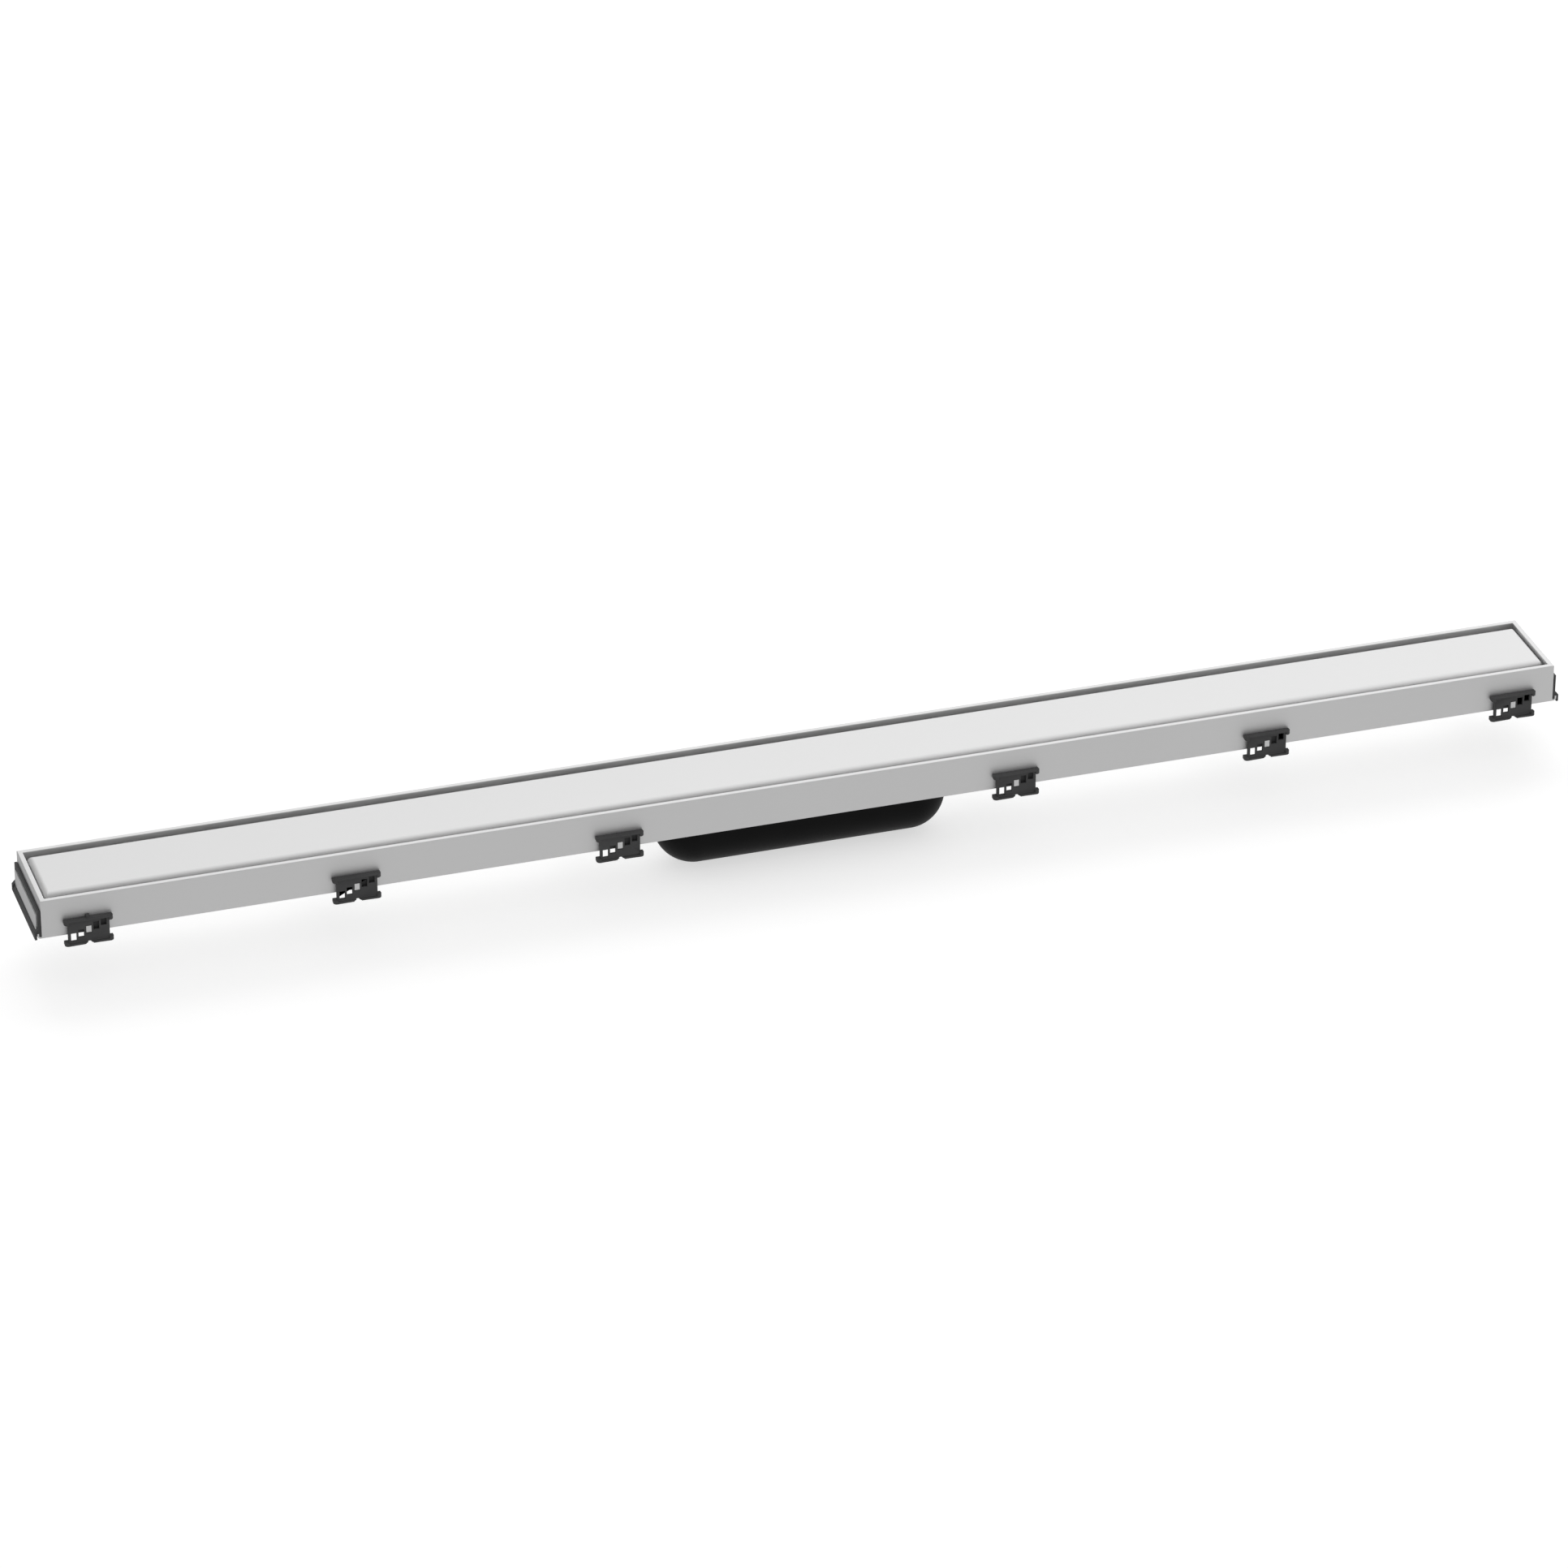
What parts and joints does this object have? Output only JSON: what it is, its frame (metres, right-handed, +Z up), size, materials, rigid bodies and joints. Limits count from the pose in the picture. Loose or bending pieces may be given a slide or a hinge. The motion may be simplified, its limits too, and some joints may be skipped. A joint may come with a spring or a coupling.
{
  "type": "channel drain",
  "caption": "Linear shower drain: hemmed steel frame with a flush lift-out cover, height clips along its walls, a sloping tray, a water trap and a black sump with a side outlet.",
  "frame": {"origin": "middle of the rim's top face, at finished floor level", "axes": "+X along the channel, +Y across it towards the outlet side, +Z up"},
  "size_m": [1.2104, 0.1233, 0.0742],
  "materials": {
    "steel": "satin",
    "tray_steel": "satin",
    "clip_plastic": "matte",
    "sump_plastic": "satin",
    "trap_plastic": "satin",
    "rubber": "matte",
    "screw_steel": "satin"
  },
  "bodies": {
    "root": {"frame": "steel", "cover_plate": "steel", "channel_tray": "tray_steel", "strainer": "tray_steel", "trap_insert": "trap_plastic", "trap_seal": "rubber", "sump": "sump_plastic", "sump_gasket": "rubber", "sump_screws": "screw_steel", "cross_bar_1": "tray_steel", "cover_saddle_1": "rubber", "cross_bar_2": "tray_steel", "cover_saddle_2": "rubber", "cross_bar_3": "tray_steel", "cover_saddle_3": "rubber", "cross_bar_4": "tray_steel", "cover_saddle_4": "rubber", "clip_front_1": "clip_plastic", "clip_back_1": "clip_plastic", "clip_front_2": "clip_plastic", "clip_back_2": "clip_plastic", "clip_front_3": "clip_plastic", "clip_back_3": "clip_plastic", "clip_front_4": "clip_plastic", "clip_back_4": "clip_plastic", "clip_front_5": "clip_plastic", "clip_back_5": "clip_plastic", "clip_front_6": "clip_plastic", "clip_back_6": "clip_plastic", "end_holder_left": "clip_plastic", "end_holder_right": "clip_plastic"}
  },
  "joints": []
}
